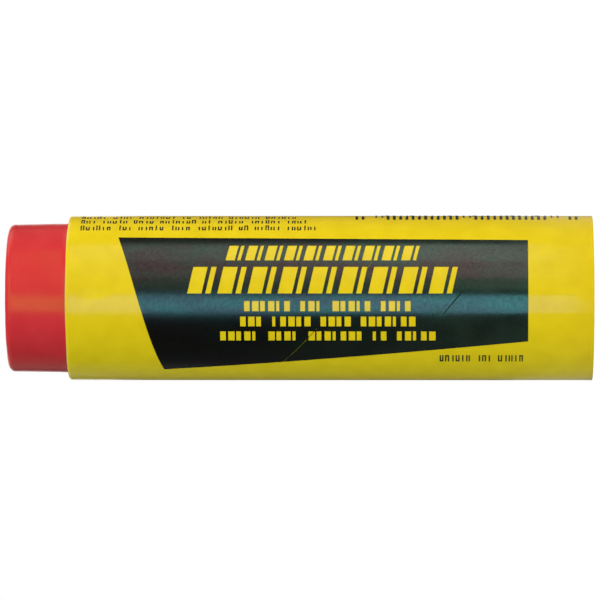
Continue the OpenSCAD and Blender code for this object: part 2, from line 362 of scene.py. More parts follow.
dents = add(wrap, "ShaderNodeMath", {0: groove("Dent"), 1: groove("Nick")}, operation="ADD")
grooves = add(wrap, "ShaderNodeMath", {0: groove("Crease"), 1: dents}, operation="ADD")
print("the wrap group has", len(wrap.nodes), "nodes so far")

# %% [markdown]
# Past the mouth line the paper turns in over the rounded corner: what is left of its length becomes an
# angle, which pulls it inward and lifts it less and less. The mouth's cut edge also wanders a little up
# and down round the sleeve, as two sine waves. Their sum less 2 runs from -4 to 0, so a quarter of it
# times the depth only ever lowers the edge. The tube's own mouth takes the same two waves further down.

# %% Wrap: the mouth
SLOW_TURNS, SLOW_START = 3.0, 0.6
FAST_TURNS, FAST_START = 7.0, 2.1
WANDER_SHARE = 0.25
WANDER_FADE = 4.0

past = add(wrap, "ShaderNodeMath", {0: along, 1: size["Mouth"]}, operation="SUBTRACT")
over = add(wrap, "ShaderNodeMath", {0: past, 1: 0.0}, operation="MAXIMUM")
corner = add(wrap, "ShaderNodeMath", {0: over, 1: size["Rounding"]}, operation="DIVIDE")
corner_sine = add(wrap, "ShaderNodeMath", {0: corner}, operation="SINE")
corner_cosine = add(wrap, "ShaderNodeMath", {0: corner}, operation="COSINE")
inward = add(wrap, "ShaderNodeMath", {0: 1.0, 1: corner_cosine}, operation="SUBTRACT")
pulled_in = add(wrap, "ShaderNodeMath", {0: inward, 1: size["Rounding"]}, operation="MULTIPLY")
below = add(wrap, "ShaderNodeMath", {0: along, 1: size["Mouth"]}, operation="MINIMUM")
rest_up = add(wrap, "ShaderNodeMath", {0: corner_sine, 1: size["Rounding"], 2: below},
              operation="MULTIPLY_ADD")

slow = add(wrap, "ShaderNodeMath", {0: angle, 1: SLOW_TURNS, 2: SLOW_START}, operation="MULTIPLY_ADD")
fast = add(wrap, "ShaderNodeMath", {0: angle, 1: FAST_TURNS, 2: FAST_START}, operation="MULTIPLY_ADD")
slow_wave = add(wrap, "ShaderNodeMath", {0: slow}, operation="SINE")
fast_wave = add(wrap, "ShaderNodeMath", {0: fast}, operation="SINE")
both = add(wrap, "ShaderNodeMath", {0: slow_wave, 1: fast_wave}, operation="ADD")
lowered = add(wrap, "ShaderNodeMath", {0: both, 1: 2.0}, operation="SUBTRACT")
near_from = add(wrap, "ShaderNodeMath", {0: size["Mouth"], 1: WANDER_FADE}, operation="SUBTRACT")
near = add(wrap, "ShaderNodeMapRange", {"Value": along, "From Min": near_from, "From Max": size["Mouth"],
                                        "To Min": 0.0, "To Max": WANDER_SHARE},
           interpolation_type="SMOOTHSTEP")
near_wave = add(wrap, "ShaderNodeMath", {0: near, 1: size["Mouth wave"]}, operation="MULTIPLY")
height = add(wrap, "ShaderNodeMath", {0: lowered, 1: near_wave, 2: rest_up}, operation="MULTIPLY_ADD")
print("the mouth's edge wanders by up to", MOUTH_WAVE, "mm")

# %% [markdown]
# All heights are added up to one radius, and arc and radius become a place in the round.

# %% Wrap: bend and finish
radius = size["Radius"]
for part, sign in ((lift, "ADD"), (climb, "ADD"), (sink, "SUBTRACT"), (grooves, "SUBTRACT"),
                   (pulled_in, "SUBTRACT")):
    radius = add(wrap, "ShaderNodeMath", {0: radius, 1: part}, operation=sign)
bent_x = add(wrap, "ShaderNodeMath", {0: radius, 1: sine}, operation="MULTIPLY")
toward = add(wrap, "ShaderNodeMath", {0: radius, 1: cosine}, operation="MULTIPLY")
bent_y = add(wrap, "ShaderNodeMath", {0: toward, 1: -1.0}, operation="MULTIPLY")
bent = add(wrap, "ShaderNodeCombineXYZ", {0: bent_x, 1: bent_y, 2: height})
metres = add(wrap, "ShaderNodeVectorMath", {0: bent, "Scale": MM}, operation="SCALE")
moved = add(wrap, "GeometryNodeSetPosition", {"Geometry": given, "Position": metres})
add(wrap, "NodeGroupOutput", {0: moved})
print("the finished wrap group has", len(wrap.nodes), "nodes")

# %% [markdown]
# A tree does nothing until a modifier runs it. This function gives a flat mesh to a tree, sets the
# tree's named inputs through their identifiers, and takes the result back out as a plain mesh. A sheet
# can be given a thickness on the way, inward from its printed face. Edges that turn by more than the
# sharp angle stay crisp, and the rest is shaded smooth.

# %% Run a tree once
SHARP_ANGLE = math.radians(40)


def run_tree(name, tree, mesh, thickness=0.0, **sizes):
    """Runs a Geometry Nodes tree on a mesh and returns the result as a plain mesh."""
    obj = bpy.data.objects.new(name, mesh)
    bpy.context.scene.collection.objects.link(obj)
    modifier = obj.modifiers.new(tree.name, "NODES")
    modifier.node_group = tree
    for socket in tree.interface.items_tree:
        if socket.in_out == "INPUT" and socket.name in sizes:
            modifier[socket.identifier] = sizes[socket.name]
    if thickness:
        thick = obj.modifiers.new("paper thickness", "SOLIDIFY")
        thick.thickness = thickness * MM
        thick.offset = -1
        thick.material_offset_rim = 1
    obj.update_tag()
    shaped = obj.evaluated_get(bpy.context.evaluated_depsgraph_get())
    result = bpy.data.meshes.new_from_object(shaped)
    result.name = name
    result.shade_smooth()
    result.set_sharp_from_angle(angle=SHARP_ANGLE)
    obj.modifiers.clear()
    bpy.data.objects.remove(obj)
    print(f"{name}: tree '{tree.name}' gave {len(result.vertices)} points")
    return result


# %% [markdown]
# The label and both kinds of print end in the same way: bent, made real and given their material. Bending
# turns a block inside out, so the faces of print are flipped.

# %% End of a tree
def bend_and_coat(tree, flat, material, flip):
    """Bends what a tree has laid out flat, gives it its material and ends the tree."""
    bent = add(tree, "GeometryNodeGroup", {"Geometry": flat}, node_tree=wrap)
    if flip:
        bent = add(tree, "GeometryNodeFlipFaces", {"Mesh": bent})
    whole = add(tree, "GeometryNodeRealizeInstances", {"Geometry": bent})
    coated = add(tree, "GeometryNodeSetMaterial", {"Geometry": whole, "Material": material})
    add(tree, "NodeGroupOutput", {0: coated})
    print(f"tree '{tree.name}' has {len(tree.nodes)} nodes")


# %% [markdown]
# ## Materials
#
# Each finish starts from what the real one is made of and how its surface came about. A flat colour would
# look like plastic, so noise patterns vary the colour, the gloss and the relief, each as wide as the real
# thing is in millimetres. They read Object coordinates, so they stay in place when the camera moves. In a
# Mix node, inputs 6 and 7 are its two colours, and 4 and 5 are its two vectors.

# %% Start of a material
def new_material(name):
    """An empty material, with its tree and the Object coordinates in millimetres."""
    material = bpy.data.materials.new(name)
    material.use_nodes = True
    tree = material.node_tree
    tree.nodes.clear()
    place = add(tree, "ShaderNodeTexCoord")
    in_mm = add(tree, "ShaderNodeMapping", {"Vector": place.outputs["Object"], "Scale": (1 / MM,) * 3})
    print("material:", name)
    return material, tree, in_mm


# %% [markdown]
# **Paint.** Drying oil, wax and pigment, cast as a stick. Its surface is dull and porous, so it mirrors
# less than a solid plastic: the IOR is under the usual 1.5, and what it mirrors is tinted, so that the
# gleam turns the red to orange. Light goes a little way into wax, which keeps the shaded side a full red.
# Patches where the pigment settled, fine pits and rub marks break the surface up.

# %% Cast paint
PATCH = 5.0
PIT = 0.35
RUB = 2.2

paint, tree, in_mm = new_material("cast solid paint, wax and oil")
patches = add(tree, "ShaderNodeTexNoise", {"Vector": in_mm, "Scale": 1 / PATCH, "Detail": 3.0})
tones = add(tree, "ShaderNodeMix", {0: patches, 6: linear("#d82a34"), 7: linear("#e83c42")},
            data_type="RGBA")
pits = add(tree, "ShaderNodeTexNoise", {"Vector": in_mm, "Scale": 1 / PIT, "Detail": 4.0})
rubs = add(tree, "ShaderNodeTexNoise", {"Vector": in_mm, "Scale": 1 / RUB, "Detail": 2.0})
bumpy = add(tree, "ShaderNodeMath", {0: pits, 1: 0.4, 2: rubs}, operation="MULTIPLY_ADD")
relief = add(tree, "ShaderNodeBump", {"Strength": 0.35, "Distance": 0.05 * MM, "Height": bumpy})
gloss = add(tree, "ShaderNodeMapRange", {"Value": rubs, "To Min": 0.2, "To Max": 0.28})
shader = add(tree, "ShaderNodeBsdfPrincipled", {
    "Base Color": tones.outputs[2], "Roughness": gloss, "IOR": 1.28, "Normal": relief,
    "Specular Tint": (0.46, 1.0, 0.02, 1.0), "Subsurface Weight": 0.12,
    "Subsurface Scale": 0.6 * MM, "Subsurface Radius": (1.0, 0.25, 0.15)})
add(tree, "ShaderNodeOutputMaterial", {"Surface": shader})

# %% [markdown]
# **Board.** Grey-brown chipboard paper, wound and glued, seen only at its raw cut ends, which are rough
# and don't shine. Its fibres are too fine to show, so they are drawn as coarse as a quarter of a
# millimetre.

# %% Wound board
BOARD_FIBRE = 0.25

board, tree, in_mm = new_material("wound chipboard")
fibres = add(tree, "ShaderNodeTexNoise", {"Vector": in_mm, "Scale": 1 / BOARD_FIBRE, "Detail": 5.0})
tones = add(tree, "ShaderNodeMix", {0: fibres, 6: linear("#8d7c63"), 7: linear("#c3b598")},
            data_type="RGBA")
relief = add(tree, "ShaderNodeBump", {"Strength": 0.6, "Distance": 0.06 * MM, "Height": fibres})
shader = add(tree, "ShaderNodeBsdfPrincipled", {"Base Color": tones.outputs[2], "Roughness": 0.85,
                                                "Normal": relief})
add(tree, "ShaderNodeOutputMaterial", {"Surface": shader})

# %% [markdown]
# ** Label.** Coated paper printed solid yellow and varnished. The paper scatters light as a rough body
# does, and the varnish over it is smooth, so its gleam is narrow, but weak and yellow like the print. The
# varnish is smoother toward the tail. The ink lies a little unevenly, in clouds of a few millimetres. The
# paper's own grain, about a tenth of a millimetre, is too fine to show, so it is drawn at 0.8 mm. The cut
# edge is given a dull, darkened yellow in place of the paper's pale core: painted shade, which keeps the
# edge at the mouth from showing as a bright line.

# %% Yellow label paper
SMOOTHER_FROM = 60.0
SMOOTHEST_AT = 8.0
CLOUD = 3.0
PAPER_GRAIN = 0.8

label_coat, tree, in_mm = new_material("yellow coated paper, varnished")
unevenness = add(tree, "ShaderNodeTexNoise", {"Vector": in_mm, "Scale": 1 / CLOUD, "Detail": 1.0})
tones = add(tree, "ShaderNodeMix", {0: unevenness, 6: linear("#ebc612"), 7: linear("#fad71d")},
            data_type="RGBA")
grain = add(tree, "ShaderNodeTexNoise", {"Vector": in_mm, "Scale": 1 / PAPER_GRAIN, "Detail": 2.0})
relief = add(tree, "ShaderNodeBump", {"Strength": 0.1, "Distance": 0.02 * MM, "Height": grain})
split = add(tree, "ShaderNodeSeparateXYZ", {0: in_mm})
smooth = add(tree, "ShaderNodeMapRange", {"Value": split.outputs[2], "From Min": SMOOTHER_FROM,
                                          "From Max": SMOOTHEST_AT, "To Min": 0.15, "To Max": 0.1})
gloss = add(tree, "ShaderNodeMath", {0: unevenness, 1: 0.05, 2: smooth}, operation="MULTIPLY_ADD")
shader = add(tree, "ShaderNodeBsdfPrincipled", {"Base Color": tones.outputs[2], "Roughness": gloss,
                                                "Normal": relief, "IOR": 1.5, "Diffuse Roughness": 0.5,
                                                "Specular Tint": (0.06, 0.08, 0.3, 1.0)})
add(tree, "ShaderNodeOutputMaterial", {"Surface": shader})

# %% Cut edge of the label
PAPER_FIBRE = 0.1

label_core, tree, in_mm = new_material("cut edge of label paper")
fibres = add(tree, "ShaderNodeTexNoise", {"Vector": in_mm, "Scale": 1 / PAPER_FIBRE, "Detail": 2.0})
# Painted shade: the cut edge gets a dull, darkened yellow instead of the paper's pale core, so it shows no
# bright line.
tones = add(tree, "ShaderNodeMix", {0: fibres, 6: linear("#b9a35c"), 7: linear("#d8c684")},
            data_type="RGBA")
shader = add(tree, "ShaderNodeBsdfPrincipled", {"Base Color": tones.outputs[2], "Roughness": 0.8})
add(tree, "ShaderNodeOutputMaterial", {"Surface": shader})

# %% [markdown]
# ** Ink.** A dense black under the same varnish. Being dark, it shows the reflections best. Toward the
# tail its colour lifts to a dark grey-green, in patches of uneven tone: the lift is painted reflection,
# standing in for the brighter gleam at that end. The varnish dried in thin films that tint what they
# mirror, greenish here and purplish there, in streaks drawn out along the sleeve. A shift picks the part
# of the noise whose streaks lie about as in the photograph.

# %% Black ink: body and films
INK_PATCH = 6.0
FILM_WIDE = 3.6
FILM_STRETCH = (1.0, 1.0, 0.35)
FILM_SHIFT = (131.0, 6.0, 8.0)

ink, tree, in_mm = new_material("black ink under varnish")
split = add(tree, "ShaderNodeSeparateXYZ", {0: in_mm})
toward_tail = add(tree, "ShaderNodeMapRange", {"Value": split.outputs[2], "From Min": SMOOTHER_FROM,
                                               "From Max": SMOOTHEST_AT})
density = add(tree, "ShaderNodeTexNoise", {"Vector": in_mm, "Scale": 1 / INK_PATCH, "Detail": 3.0})
# Painted reflection: the colour lifts toward the tail, in uneven patches, in place of a brighter gleam
# there.
painted_tail_lift = add(tree, "ShaderNodeMath", {0: toward_tail, 1: density}, operation="MULTIPLY")
tones = add(tree, "ShaderNodeMix", {0: painted_tail_lift, 6: linear("#040603"), 7: linear("#293c30")},
            data_type="RGBA")
stretched = add(tree, "ShaderNodeVectorMath", {0: in_mm, 1: FILM_STRETCH, 2: FILM_SHIFT},
                operation="MULTIPLY_ADD")
films = add(tree, "ShaderNodeTexNoise", {"Vector": stretched, "Scale": 1 / FILM_WIDE, "Detail": 2.0,
                                         "Distortion": 0.6})
apart = add(tree, "ShaderNodeMapRange", {"Value": films, "From Min": 0.35, "From Max": 0.65})
film = add(tree, "ShaderNodeMix", {0: apart, 6: (0.84, 1.0, 0.96, 1.0), 7: (1.0, 0.72, 0.84, 1.0)},
           data_type="RGBA")

# %% [markdown]
# Where the label is creased, the varnish has cracked along a hair line that no longer shines. The line is
# given by its two ends, and the nodes measure how far a point lies beside it and past its ends. Elsewhere
# specks of dust dull the varnish a little. They are much finer than the 0.45 mm that they are drawn at.

# %% Black ink: the cracked varnish
CRACK_TOP = Vector((1.2, 0, 22.2))
CRACK_END = Vector((-3.1, 0, 25.9))
CRACK_RUN = (CRACK_END - CRACK_TOP).normalized()
CRACK_SIDE = Vector((CRACK_RUN.z, 0, -CRACK_RUN.x))
CRACK_AT = (CRACK_TOP + CRACK_END) / 2
CRACK_HALF = (CRACK_END - CRACK_TOP).length / 2
CRACK_CORE, CRACK_EDGE, CRACK_FADE = 0.05, 0.16, 0.8
SPECK = 0.45

from_crack = add(tree, "ShaderNodeVectorMath", {0: in_mm, 1: CRACK_AT}, operation="SUBTRACT")
beside = add(tree, "ShaderNodeVectorMath", {0: from_crack, 1: CRACK_SIDE}, operation="DOT_PRODUCT")
down = add(tree, "ShaderNodeVectorMath", {0: from_crack, 1: CRACK_RUN}, operation="DOT_PRODUCT")
away = add(tree, "ShaderNodeMath", {0: beside.outputs["Value"]}, operation="ABSOLUTE")
past_end = add(tree, "ShaderNodeMath", {0: down.outputs["Value"]}, operation="ABSOLUTE")
sound = add(tree, "ShaderNodeMapRange", {"Value": away, "From Min": CRACK_CORE, "From Max": CRACK_EDGE})
beyond = add(tree, "ShaderNodeMapRange", {"Value": past_end, "From Min": CRACK_HALF - CRACK_FADE,
                                          "From Max": CRACK_HALF})
shines = add(tree, "ShaderNodeMath", {0: sound, 1: beyond}, operation="MAXIMUM")
specks = add(tree, "ShaderNodeTexNoise", {"Vector": in_mm, "Scale": 1 / SPECK, "Detail": 3.0})
dulled = add(tree, "ShaderNodeMapRange", {"Value": specks, "From Min": 0.3, "From Max": 0.7,
                                          "To Min": 0.7, "To Max": 1.08})
specked = add(tree, "ShaderNodeVectorMath", {0: film.outputs[2], "Scale": dulled}, operation="SCALE")
varnish = add(tree, "ShaderNodeMix", {0: shines, 6: linear("#3c3c3c"), 7: specked}, data_type="RGBA")
print(f"the crack is {2 * CRACK_HALF:.1f} mm long")

# %% Black ink: relief and gloss
grain = add(tree, "ShaderNodeTexNoise", {"Vector": in_mm, "Scale": 1 / PAPER_GRAIN, "Detail": 2.0})
relief = add(tree, "ShaderNodeBump", {"Strength": 0.12, "Distance": 0.02 * MM, "Height": grain})
smooth = add(tree, "ShaderNodeMapRange", {"Value": toward_tail, "To Min": 0.2, "To Max": 0.12})
gloss = add(tree, "ShaderNodeMath", {0: density, 1: 0.09, 2: smooth}, operation="MULTIPLY_ADD")
shader = add(tree, "ShaderNodeBsdfPrincipled", {"Base Color": tones.outputs[2], "Roughness": gloss,
                                                "Normal": relief, "IOR": 1.5,
                                                "Specular Tint": varnish.outputs[2]})
add(tree, "ShaderNodeOutputMaterial", {"Surface": shader})
print("the ink's tree has", len(tree.nodes), "nodes")

# %% [markdown]
# ## Label
#
# The label is one sheet of paper, a little longer than the tube is round, so it laps over its own start
# at the back. A plain tube would have no lap and no seam. So a flat grid is stretched to the sheet's size
# in Geometry Nodes and bent by the wrap group. Its rows crowd together toward the mouth, where the paper
# turns in sharply. Solidify then gives the paper its thickness, with a second material on the cut edges.

# %% Label sheet as a tree
TURN_IN = 0.54
sheet_wide = ROUND_ARC + LABEL_LAP
sheet_tall = SLEEVE_LEN - MOUTH_ROUND + TURN_IN

sheet_tree, given = sized_tree("label sheet", {
    "Wide": sheet_wide, "Tall": sheet_tall, "Starts at": LAP_START - ROUND_ARC,
    "Columns": 210, "Rows": 200, "Crowding": 1.6})
size = given.outputs
grid = add(sheet_tree, "GeometryNodeMeshGrid", {"Size X": 1.0, "Size Y": 1.0,
                                                "Vertices X": size["Columns"], "Vertices Y": size["Rows"]})
place = add(sheet_tree, "GeometryNodeInputPosition")
split = add(sheet_tree, "ShaderNodeSeparateXYZ", {0: place})
across = add(sheet_tree, "ShaderNodeMath", {0: split.outputs[0], 1: 0.5}, operation="ADD")
arc = add(sheet_tree, "ShaderNodeMath", {0: across, 1: size["Wide"], 2: size["Starts at"]},
          operation="MULTIPLY_ADD")
down = add(sheet_tree, "ShaderNodeMath", {0: 0.5, 1: split.outputs[1]}, operation="SUBTRACT")
eased = add(sheet_tree, "ShaderNodeMath", {0: down, 1: size["Crowding"]}, operation="POWER")
from_mouth = add(sheet_tree, "ShaderNodeMath", {0: eased, 1: size["Tall"]}, operation="MULTIPLY")
along = add(sheet_tree, "ShaderNodeMath", {0: size["Tall"], 1: from_mouth}, operation="SUBTRACT")
flat = add(sheet_tree, "ShaderNodeCombineXYZ", {0: arc, 1: 0.0, 2: along})
laid = add(sheet_tree, "GeometryNodeSetPosition", {"Geometry": grid, "Position": flat})
bend_and_coat(sheet_tree, laid, label_coat, flip=False)
print(f"label sheet {sheet_wide:.1f} by {sheet_tall:.1f} mm")

# %% Label sheet as a piece
flat_sheet = bpy.data.meshes.new("flat sheet")
flat_sheet.materials.append(label_coat)
flat_sheet.materials.append(label_core)
sheet = run_tree("label_paper", sheet_tree, flat_sheet, thickness=PAPER)
sheet.materials.append(label_core)
piece("label_paper", sheet, "label_wrap")

# %% [markdown]
# ## Print
#
# Every bit of print is a block: a letter mark, a bar, a stripe of a tile. An image on the label would be
# quicker, but it would end at the edge of its pixels. The script lists the blocks as points of a mesh,
# each with a size and a lean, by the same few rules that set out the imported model. One group sets a block
# on every point. The fine rows and the bars are those blocks, bent round the sleeve. The dark panel is a
# thin plate with its blocks taken away, so the yellow label shows through it.

# %% Blocks and rows of letter marks
WORD_MARKS = [6, 3, 5, 4, 7, 2, 5, 6]
LETTER_WIDTHS = [1, 1.15, 0.85, 1.1, 0.55]


def block(foot, head, low, high, lean=0.0):
    """A block from one arc to another and from one height to another, and how far it leans per mm."""
    return (foot, head, low, high, lean)


def row_long(marks, pitch, fill):
    """Length of a row of letter marks."""
    return (marks - 1 + fill) * pitch


def mark_row(foot, talls, start, marks, pitch, fill, first):
    """A row of letter marks that reads from the nose toward the tail and starts with a given word."""
    row, place, word = [], 0, first
    while place < marks:
        for _ in range(min(WORD_MARKS[word % len(WORD_MARKS)], marks - place)):
            high = start - place * pitch
            wide = fill * LETTER_WIDTHS[place % len(LETTER_WIDTHS)] * pitch
            row.append(block(foot, foot + talls[place % len(talls)], high - wide, high))
            place += 1
        place += 1
        word += 1
    return row


print("a row of ten marks, 1 mm apart:", len(mark_row(0, [1], 10, 10, 1, 0.5, 0)), "blocks and a gap")

# %% Slanted tiles and thin strokes
def tile_row(foot, tall, tiles, pitch, middle, lean, wide=0.48, gap=0.12, narrow=0.18):
    """A row of slanted tiles, each a wide stripe and a narrow one."""
    tile = (wide + gap + narrow) * pitch
    top = middle + ((tiles - 1) * pitch + tile) / 2
    row = []
    for i in range(tiles):
        head = top - i * pitch
        row.append(block(foot, foot + tall, head - wide * pitch, head, lean))
        row.append(block(foot, foot + tall, head - tile, head - tile + narrow * pitch, lean))
    return row


def thinned(row, thin=0.2, spread=0.08, bar=0.25):
    """Draws each letter mark of a row as two thin uprights, some of them joined at the foot or the head."""
    strokes = []
    for i, (foot, head, low, high, lean) in enumerate(row):
        low, high = low - spread, high + spread
        strokes.append(block(foot, head, low, low + thin))
        if high - low > 3 * thin:
            strokes.append(block(foot, head, high - thin, high))
            if i % 3 < 2:
                edge = foot if i % 3 == 0 else head - bar
                strokes.append(block(edge, edge + bar, low + thin, high - thin))
    return strokes


print("one mark 1 mm wide becomes", len(thinned([block(0, 1, 0, 1)])), "strokes")

# %% [markdown]
# The panel is open in two rows of slanted tiles, large and small, and three rows of letter marks below
# them, which are centred a little nearer the tail. Two long thin openings are hair scratches, which slant
# across the panel.

# %% Openings of the dark panel
PANEL_FROM_MOUTH = 8.95
PANEL_TOP = SLEEVE_LEN - PANEL_FROM_MOUTH
PANEL_TAIL = 11.2
PANEL_MID = (PANEL_TOP + PANEL_TAIL) / 2
TILE_LEAN = 0.22
WORD_FOOT, WORD_TALL, WORD_STEP = -2.25, 1.75, 2.65
WORD_PITCH, WORD_FILL = 1.36, 0.72
WORDS_BACK = 0.8

opened = tile_row(foot=0.76, tall=4.65, tiles=9, pitch=5.1, middle=PANEL_MID, lean=TILE_LEAN)
opened += tile_row(foot=6.6, tall=3.0, tiles=10, pitch=3.3, middle=PANEL_MID, lean=TILE_LEAN)
for i, marks in enumerate((21, 22, 27)):
    start = PANEL_MID - WORDS_BACK + row_long(marks, WORD_PITCH, WORD_FILL) / 2
    opened += mark_row(WORD_FOOT - WORD_STEP * i, [WORD_TALL], start, marks, WORD_PITCH, WORD_FILL, i)
scratches = [block(-12.4, -5.3, 49.85, 49.93, 0.82), block(5.2, 6.3, 37.92, 37.98, 0.63)]
print(len(opened), "openings and", len(scratches), "scratches")

# %% [markdown]
# The bars stand on the upper side and are all one pitch apart. Their widths repeat every ten bars and
# code nothing. Three pairs are guards, thin and longer, and a row of plain strokes fills the gaps between
# the guards' feet.

# %% Bars and strokes
BARS_START = 5.8
BAR_PITCH = 1.07
BARS = 30
BAR_FOOT = 20.4
BAR_THIN = 0.26
BAR_WIDTHS = (1, 2, 1, 3, 1, 1, 2, 3, 2, 1)
GUARDS = (0, 1, 14, 15, 28, 29)
GUARD_DROP = 1.6
STROKE_FOOT, STROKE_HEAD, STROKE_WIDE = 17.6, 20.0, 0.45
STROKE_GAPS = (-1, *GUARDS, BARS)

bar_rows = []
for i in range(BARS):
    guard = i in GUARDS
    wide = BAR_THIN * (1 if guard else BAR_WIDTHS[i % len(BAR_WIDTHS)])
    low = BARS_START + BAR_PITCH * i
    bar_rows.append(block(BAR_FOOT - (GUARD_DROP if guard else 0), BAR_HEAD, low, low + wide))
stroke_rows = []
for i in range(-3, BARS + 3):
    if i not in STROKE_GAPS:
        low = BARS_START + BAR_PITCH * i
        stroke_rows.append(block(STROKE_FOOT, STROKE_HEAD, low, low + STROKE_WIDE))
print(len(bar_rows), "bars and", len(stroke_rows), "strokes")

# %% [markdown]
# One fine row lies under the panel and three over it, from the mouth to a set distance from the bars.

# %% Fine rows
FINE_PITCH, FINE_FILL = 0.9, 0.5
FINE_TALL = 1.5
FINE_TALLS = [FINE_TALL * share for share in (1, 0.7, 0.7, 1, 0.7, 0.7, 0.7)]
UNDER_FOOT, UNDER_MARKS = -12.2, 17
OVER_FOOT, OVER_STEP = 13.5, 2.35
FINE_FROM_MOUTH = 2.45
FINE_FROM_BARS = 9.5

bars_top = BARS_START + (BARS - 1) * BAR_PITCH
fine_start = SLEEVE_LEN - FINE_FROM_MOUTH
fine_marks = math.floor((fine_start - bars_top - FINE_FROM_BARS) / FINE_PITCH)
under_start = PANEL_TAIL + row_long(UNDER_MARKS, FINE_PITCH, FINE_FILL)
fine_rows = mark_row(UNDER_FOOT, [FINE_TALL], under_start, UNDER_MARKS, FINE_PITCH, FINE_FILL, 0)
for i in range(3):
    fine_rows += mark_row(OVER_FOOT + OVER_STEP * i, FINE_TALLS, fine_start, fine_marks - 2 * i,
                          FINE_PITCH, FINE_FILL, i)
print(len(fine_rows), "fine marks, up to", fine_marks, "places in a row")

# %% [markdown]
# The lists now become points that carry their block's size and lean, and a group sets a unit cube on each
# point and scales and slants it. The number of cuts in the cube is an input, because a long block has to
# be cut many times to bend round the sleeve, and a short one only once or twice.

# %% Points that carry blocks
def points_of(name, blocks, below, above):
    """A mesh with one point for each block, in the flat print, that holds its size and its lean."""
    mesh = bpy.data.meshes.new(name)
    middles = [((b[0] + b[1]) / 2, (below + above) / 2, (b[2] + b[3]) / 2) for b in blocks]
    mesh.from_pydata(middles, [], [])
    for held, kind in (("size", "FLOAT_VECTOR"), ("lean", "FLOAT"), ("middle", "FLOAT")):
        mesh.attributes.new(held, kind, "POINT")
    for i, b in enumerate(blocks):
        mesh.attributes["size"].data[i].vector = (b[1] - b[0], above - below, b[3] - b[2])
        mesh.attributes["lean"].data[i].value = b[4]
        mesh.attributes["middle"].data[i].value = middles[i][0]
    print(f"{name}: {len(blocks)} points")
    return mesh


# %% Blocks on points, as a node group
blocks, given = sized_tree("blocks on points", {"Cuts along the arc": 2, "Cuts along the sleeve": 2})
size = given.outputs
unit = add(blocks, "GeometryNodeMeshCube", {"Size": (1, 1, 1), "Vertices X": size["Cuts along the arc"],
                                            "Vertices Y": 2, "Vertices Z": size["Cuts along the sleeve"]})
named_size = add(blocks, "GeometryNodeInputNamedAttribute", {"Name": "size"}, data_type="FLOAT_VECTOR")
set_down = add(blocks, "GeometryNodeInstanceOnPoints", {"Points": given, "Instance": unit,
                                                        "Scale": named_size})
whole = add(blocks, "GeometryNodeRealizeInstances", {"Geometry": set_down})
place = add(blocks, "GeometryNodeInputPosition")
split = add(blocks, "ShaderNodeSeparateXYZ", {0: place})
named_middle = add(blocks, "GeometryNodeInputNamedAttribute", {"Name": "middle"}, data_type="FLOAT")
named_lean = add(blocks, "GeometryNodeInputNamedAttribute", {"Name": "lean"}, data_type="FLOAT")
from_middle = add(blocks, "ShaderNodeMath", {0: named_middle, 1: split.outputs[0]}, operation="SUBTRACT")
shift = add(blocks, "ShaderNodeMath", {0: from_middle, 1: named_lean}, operation="MULTIPLY")
slant = add(blocks, "ShaderNodeCombineXYZ", {2: shift})
leaned = add(blocks, "GeometryNodeSetPosition", {"Geometry": whole, "Offset": slant})
add(blocks, "NodeGroupOutput", {0: leaned})
print("the blocks group has", len(blocks.nodes), "nodes")

# %% Stamped print, as a tree
stamped, given = sized_tree("stamped print", {"Cuts along the arc": 3})
cuts = given.outputs["Cuts along the arc"]
laid = add(stamped, "GeometryNodeGroup", {"Geometry": given, "Cuts along the arc": cuts}, node_tree=blocks)
bend_and_coat(stamped, laid, ink, flip=True)

# %% Fine rows and bars as pieces
INK = 0.05
FINE_CUTS = 3
BAR_CUTS = 30

fine_points = points_of("fine marks", thinned(fine_rows), 0.0, INK)
bar_points = points_of("bars and strokes", bar_rows + stroke_rows, 0.0, INK)
fine_mesh = run_tree("fine_rows_ink", stamped, fine_points, **{"Cuts along the arc": FINE_CUTS})
bar_mesh = run_tree("bars_ink", stamped, bar_points, **{"Cuts along the arc": BAR_CUTS})
piece("fine_rows_ink", fine_mesh, "fine_print")
piece("bars_ink", bar_mesh, "bar_print")

# %% [markdown]
# ## Dark panel
#
# The panel has four corners and no parallel sides, so its plate is a flat cube whose points are moved to
# their share of the way between the corners. A boolean then takes all the blocks away at once, while the
# plate is still flat and its walls are straight, and only then is it bent.

# %% Panel's plate, as a tree
PANEL_SLANT = 7.7

panel_tree, given = sized_tree("open panel", {
    "Cells across": 90, "Cells along": 230, "Ink": INK,
    "Lower tail": (-7.7, 0.0, PANEL_TAIL), "Upper tail": (10.85, 0.0, PANEL_TAIL),
    "Lower mouth": (-PANEL_DROP_MOUTH, 0.0, PANEL_TOP - PANEL_SLANT),
    "Upper mouth": (11.5, 0.0, PANEL_TOP),
})
size = given.outputs
plate = add(panel_tree, "GeometryNodeMeshCube", {"Size": (1, 1, 1), "Vertices X": size["Cells across"],
                                                 "Vertices Y": 2, "Vertices Z": size["Cells along"]})
place = add(panel_tree, "GeometryNodeInputPosition")
shares = add(panel_tree, "ShaderNodeVectorMath", {0: place, 1: (0.5, 0.5, 0.5)}, operation="ADD")
split = add(panel_tree, "ShaderNodeSeparateXYZ", {0: shares})
tail_edge = add(panel_tree, "ShaderNodeMix", {0: split.outputs[0], 4: size["Lower tail"],
                                              5: size["Upper tail"]}, data_type="VECTOR")
mouth_edge = add(panel_tree, "ShaderNodeMix", {0: split.outputs[0], 4: size["Lower mouth"],
                                               5: size["Upper mouth"]}, data_type="VECTOR")
spot = add(panel_tree, "ShaderNodeMix", {0: split.outputs[2], 4: tail_edge.outputs[1],
                                         5: mouth_edge.outputs[1]}, data_type="VECTOR")
risen = add(panel_tree, "ShaderNodeMath", {0: split.outputs[1], 1: size["Ink"]}, operation="MULTIPLY")
rise = add(panel_tree, "ShaderNodeCombineXYZ", {1: risen})
flat = add(panel_tree, "ShaderNodeVectorMath", {0: spot.outputs[1], 1: rise}, operation="ADD")
